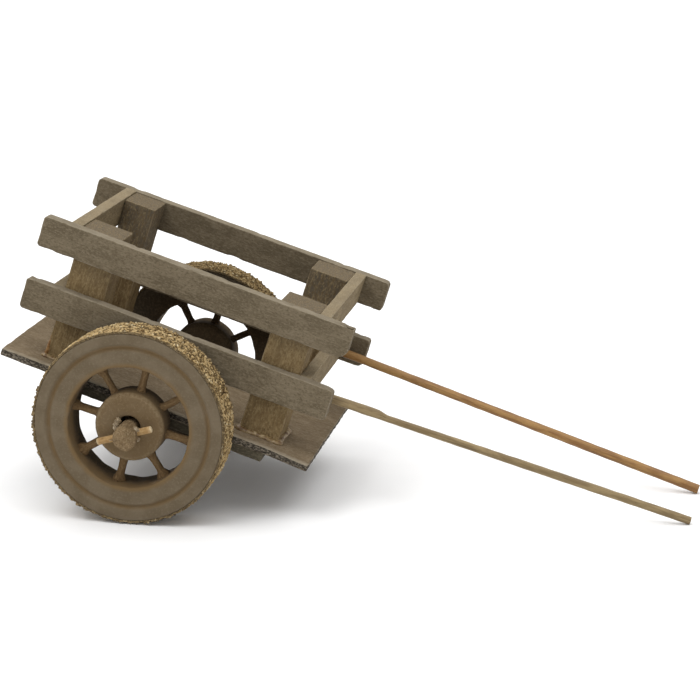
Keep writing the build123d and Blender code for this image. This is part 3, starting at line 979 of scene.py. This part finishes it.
def tread_piece(side):
    """Layer of cork crumbs round a wheel."""
    node, matrix = f"wheel_tread_{side}", wheel_frame(side)
    inner, outer, low, high = round_size(node, matrix)
    shape, rows = Shape(), []
    for radius, height in tread_outline(inner, outer, low, high):
        skin = blend01(inner + 0.1, outer, radius)
        row = []
        for index in range(TREAD_SEGMENTS):
            angle = 2 * pi * (index + 0.5 * (len(rows) % 2)) / TREAD_SEGMENTS
            ray = Vector((cos(angle), sin(angle), 0))
            spot = ray * radius + Vector((TREAD_SHIFT[side], 0, height))
            stirred = spot + Vector([0.35 * wander(spot, 0.9, 96 + axis) for axis in range(3)])
            distances, cells = noise.voronoi(stirred / CRUMB_SIZE)
            crack = blend01(0.3, 0.02, distances[1] - distances[0])
            lot = noise.cell(cells[0] * 9.7 + Vector((0.5, 0.5, 0.5)))
            lump = 0.5 + 0.5 * wander(spot, 6.0, 95)
            grit = 0.5 + 0.5 * wander(spot, 0.5, 99)
            sink = CRACK_DEPTH * crack + CRUMB_HEIGHT * (0.5 - 0.5 * lot) + 0.2 * lump + 0.2 * grit
            raised = 0.0
            if min(abs(height - high), abs(height - low)) < 0.4:
                away = 1 if height > (low + high) / 2 else -1
                raised = away * FACE_RELIEF * (lot - crack) * skin
            point = ray * (radius - sink * skin) + Vector((0, 0, height + raised))
            rim = blend01(0.9, 0.3, min(high - height, height - low) + 0.5 * grit)
            row.append(shape.add(point, crumb=0.5 + 0.5 * lot, gap=crack, rim=rim))
        rows.append(row)
    shape.grid(rows + [rows[0]])
    make_piece(f"{node}_crumbs", shape, matrix, TREAD_CORK[side], f"wheel_{side}", [node])


HUB_BEVEL = 1.2
HUB_SEGMENTS = 120


def hub_piece(side):
    """Turned hub with a free bore."""
    node, matrix = f"wheel_hub_{side}", wheel_frame(side, pi / 2 if side == "right" else -pi / 2)
    inner, outer, low, high = round_size(node, matrix)
    shoulder = outer - HUB_BEVEL
    corners = [(inner, low), (inner, high), (shoulder, high), (outer, high - HUB_BEVEL),
               (outer, low + HUB_BEVEL), (shoulder, low)]
    outline = filled_outline(rounded_outline(corners, 0.35, 2), 0.7)

    def jitter(radius, place):
        free = blend01(inner + 0.3, inner + 1.5, radius)
        return free * (0.1 * wander(place, 3.5, 101) + 0.04 * wander(place, 1.0, 102))

    # grime is painted shade, rising towards the inner face of the hub.
    def values(radius, height, place):
        chamfer = blend01(shoulder - 0.3, outer - HUB_BEVEL / 2, radius)
        chamfer *= blend01(HUB_BEVEL, HUB_BEVEL / 2, high - height)
        return {"warm": 0.5, "wear": chamfer * (0.8 + 0.4 * wander(place, 3.0, 103)),
                "grime": 0.8 * blend01(high - 4.0, low + 2.0, height)}

    shape = Shape()
    lathe(shape, outline, HUB_SEGMENTS, jitter, values)
    make_piece(f"{node}_worn", shape, matrix, HUB_PAINT, f"wheel_{side}", [node], 60)


SPOKES = 8
SPOKE_STEPS = 28
SPOKE_GLUE = (0.9, 0.25, 0.15, 0.3, 0.7, 0.55, 1.0, 0.8)  # how far glue swells each spoke at the ring


def spoke_piece(side, number):
    """Slightly uneven round spoke."""
    node = f"spoke_{side}_{number}"
    matrix, length, radius = stick_frame(node, OUT[side])
    seed = number + (20 if side == "left" else 0)
    start = matrix.to_translation() - wheel_centre[f"wheel_{side}"]
    stop = start + matrix.to_3x3() @ Vector((length * MM, 0, 0))
    outward = stop.length > start.length
    swell = SPOKE_GLUE[(number + (3 if side == "left" else 0)) % len(SPOKE_GLUE)]
    sections = []
    for place in spaced(0.0, length, SPOKE_STEPS):
        from_ring = length - place if outward else place
        from_hub = length - from_ring
        glued = swell * blend01(4.2, 1.8, from_ring) + 0.3 * blend01(3.0, 1.4, from_hub)
        reach = radius + 0.16 * wander((place * 0.4, 0, 0), 1.5, seed) + glued
        lift = 0.12 * wander((place * 0.3, 4, 0), 1.5, seed)
        sections.append((place, reach, lift, 0.14 + 0.5 * glued))
    shape = Shape()
    stick(shape, sections, 24, seed, 0.14, 0.06)
    # Painted shade: the inward side of each spoke is darkened towards the grey of spoke_wood.
    shape.mark("dusky", lambda point: 0.9 * blend01(0.4, -0.5, point[2]))
    make_piece(f"{node}_worn", shape, matrix, SPOKE_WOOD, f"wheel_{side}", [node], 50)


PIN_STEPS = 20
PIN_TIPS = ((0.0, 0.6), (0.15, 0.85))  # in from each end, and the share of the radius there
PIN_SHOULDER = 0.4
SHRED_START = 0.6  # share of the pin's length
SHRED_STEP = 0.35
SHRED_STEPS = 9


def pin_piece(side):
    """Toothpick through the end of the arm, and the shred torn up where it leaves the arm."""
    node = f"linchpin_{side}"
    matrix, length, radius = stick_frame(node, OUT[side])
    sections = [(place, radius * share, 0.0) for place, share in PIN_TIPS]
    sections += [(place, radius, 0.0) for place in spaced(PIN_SHOULDER, length - PIN_SHOULDER, PIN_STEPS)]
    sections += [(length - place, radius * share, 0.0) for place, share in reversed(PIN_TIPS)]
    shape = Shape()
    stick(shape, sections, 20, 7, 0.08, 0.05)
    shape.mark("pale", lambda point: blend01(0.5, 0.2, min(point[0], length - point[0])))
    make_piece(f"{node}_worn", shape, matrix, PIN_WOOD, "chassis", [node], 50)

    torn = [(length * SHRED_START + SHRED_STEP * step, 0.34 - 0.02 * step, radius + 0.06 * step)
            for step in range(SHRED_STEPS)]
    shred = Shape()
    stick(shred, torn, 8, 9, 0.06, 0.3, (0.2, 0.0))
    make_piece(f"{node}_shred", shred, matrix, GLUE, "chassis", sharp=50)


def dab_piece(side):
    """Speckled dabs of glue and sawdust round the pin."""
    matrix, length, _ = stick_frame(f"linchpin_{side}", OUT[side])
    forward_sign = 1 if matrix.col[0].x > 0 else -1
    up_sign = 1 if matrix.col[1].z > 0 else -1
    shape = Shape()
    for number, (along, above, out, size) in enumerate(DAB_LUMPS):
        centre = (length / 2 + forward_sign * along, up_sign * above, out)
        blob(shape, centre, size, 140 + number)
    make_piece(f"glue_dab_{side}", shape, matrix, SAWDUST, "chassis")


for side in SIDES:
    ring_piece(side)
    tread_piece(side)
    hub_piece(side)
    for number in range(1, SPOKES + 1):
        spoke_piece(side, number)
    pin_piece(side)
    dab_piece(side)


# ---- Shafts ----

SHAFT_LOOK = {"right": (DULL, "bamboo_dull", 111), "left": (GOLDEN, "bamboo_golden", 131)}
SHAFT_STEP = 0.9
FEWEST_IN_RING = 5
NEARLY = 1e-6


def forward_frame(node):
    """Frame of a shaft with X pointing forward, and its length."""
    matrix, length, _ = stick_frame(node, cart_up)
    x_axis, _, z_axis, start = (Vector(matrix.col[column][:3]) for column in range(4))
    if x_axis.x < 0:
        matrix = axes_matrix(-x_axis, z_axis.cross(-x_axis), z_axis, start + x_axis * length * MM)
    return matrix, length


def shaft_rings(node, matrix, length):
    """Place, radius and lift of each ring of points of the CAD shaft."""
    rings = {}
    for point in local_points(node, matrix):
        rings.setdefault(round(point.x * 2) / 2, []).append(point.z)
    known = [(place, (max(group) - min(group)) / 2, (max(group) + min(group)) / 2)
             for place, group in sorted(rings.items()) if len(group) > FEWEST_IN_RING]
    known[0] = (0.0,) + known[0][1:]
    known[-1] = (length,) + known[-1][1:]
    return known


def shaft_piece(side):
    """Bamboo shaft with the thickness of its CAD node at each place."""
    node = f"shaft_{side}"
    material, slot, seed = SHAFT_LOOK[side]
    matrix, length = forward_frame(node)
    known = shaft_rings(node, matrix, length)
    sections = []
    for place in spaced(0.0, length, round(length / SHAFT_STEP)):
        after = next((ring for ring in known if ring[0] >= place - NEARLY), known[-1])
        before = [ring for ring in known if ring[0] <= place + NEARLY][-1]
        gap = after[0] - before[0]
        share = 0.0 if gap < NEARLY else (place - before[0]) / gap
        radius, lift = (before[part] * (1 - share) + after[part] * share for part in (1, 2))
        sections.append((place, radius + 0.05 * wander((place * 0.2, 0, 0), 1.0, 110), lift))
    sections.append((length + 0.05, sections[-1][1] * 0.8, sections[-1][2]))
    shape = Shape()
    stick(shape, sections, 22, seed, 0.07, 0.05)
    make_piece(f"{node}_fibres", shape, matrix, material, "chassis", [node], 50)


for side in SIDES:
    shaft_piece(side)


# ---- Camera, lights and floor ----

VIEW_AZIMUTH, VIEW_ELEVATION, VIEW_ROLL = radians(10.61), radians(14.74), radians(-0.48)
VIEW_LENS = 110.0
SENSOR_WIDTH = 36.0
CLIP_START = 0.01
VIEW_SHIFT = (-0.00733, -0.0141)
TO_CAMERA = (0.05977, 0.01438, 0.69708)  # from the axle: right, up and back, as the camera sees it

FLOOR_SIZE = 8
SKY_STRENGTH = 0.72


def add_camera():
    """Camera at a fixed place from the axle."""
    aim = Euler((pi / 2 - VIEW_ELEVATION, 0, VIEW_AZIMUTH)).to_matrix()
    aim = (aim @ Matrix.Rotation(-VIEW_ROLL, 3, "Z")).to_4x4()
    data = bpy.data.cameras.new("camera")
    data.lens, data.sensor_width = VIEW_LENS, SENSOR_WIDTH
    data.shift_x, data.shift_y = VIEW_SHIFT
    data.clip_start = CLIP_START
    camera = bpy.data.objects.new("camera", data)
    camera.matrix_world = Matrix.Translation(axle_centre) @ aim @ Matrix.Translation(TO_CAMERA)
    bpy.context.collection.objects.link(camera)
    bpy.context.scene.camera = camera


def add_light(name, place, aim, size, energy):
    """Square lamp at that place, pointing at the aim."""
    data = bpy.data.lights.new(name, "AREA")
    data.size, data.energy = size, energy
    light = bpy.data.objects.new(name, data)
    light.location = place
    light.rotation_euler = (Vector(aim) - Vector(place)).to_track_quat("-Z", "Y").to_euler()
    bpy.context.collection.objects.link(light)


def add_floor():
    """Near-white paper under the cart."""
    bpy.ops.mesh.primitive_plane_add(size=FLOOR_SIZE)
    floor_plane = bpy.context.object
    floor_plane.name = "floor"
    look = Look("floor_paper", 0.9, 0.1)
    speck = look.noise((40.0, 40.0, 40.0), 2, 1.0)
    look.colour = look.mix(look.ramp(speck, 0.3, 0.7), (0.86, 0.86, 0.86, 1), (0.88, 0.88, 0.88, 1))
    floor_plane.data.materials.append(look.finish())


add_camera()
add_floor()
add_light("ceiling", place=(0.0, 0.5, 2.4), aim=(0.0, 0.5, 0.0), size=4.0, energy=72.0)
add_light("key", place=(-0.35, -0.5, 0.9), aim=(0.0, 0.0, 0.0), size=0.5, energy=3.0)
world = bpy.data.worlds.new("studio")
bpy.context.scene.world = world
world.use_nodes = True
sky = world.node_tree.nodes["Background"]
sky.inputs["Color"].default_value = (1, 1, 1, 1)
sky.inputs["Strength"].default_value = SKY_STRENGTH
bpy.context.scene.view_settings.view_transform = "Standard"
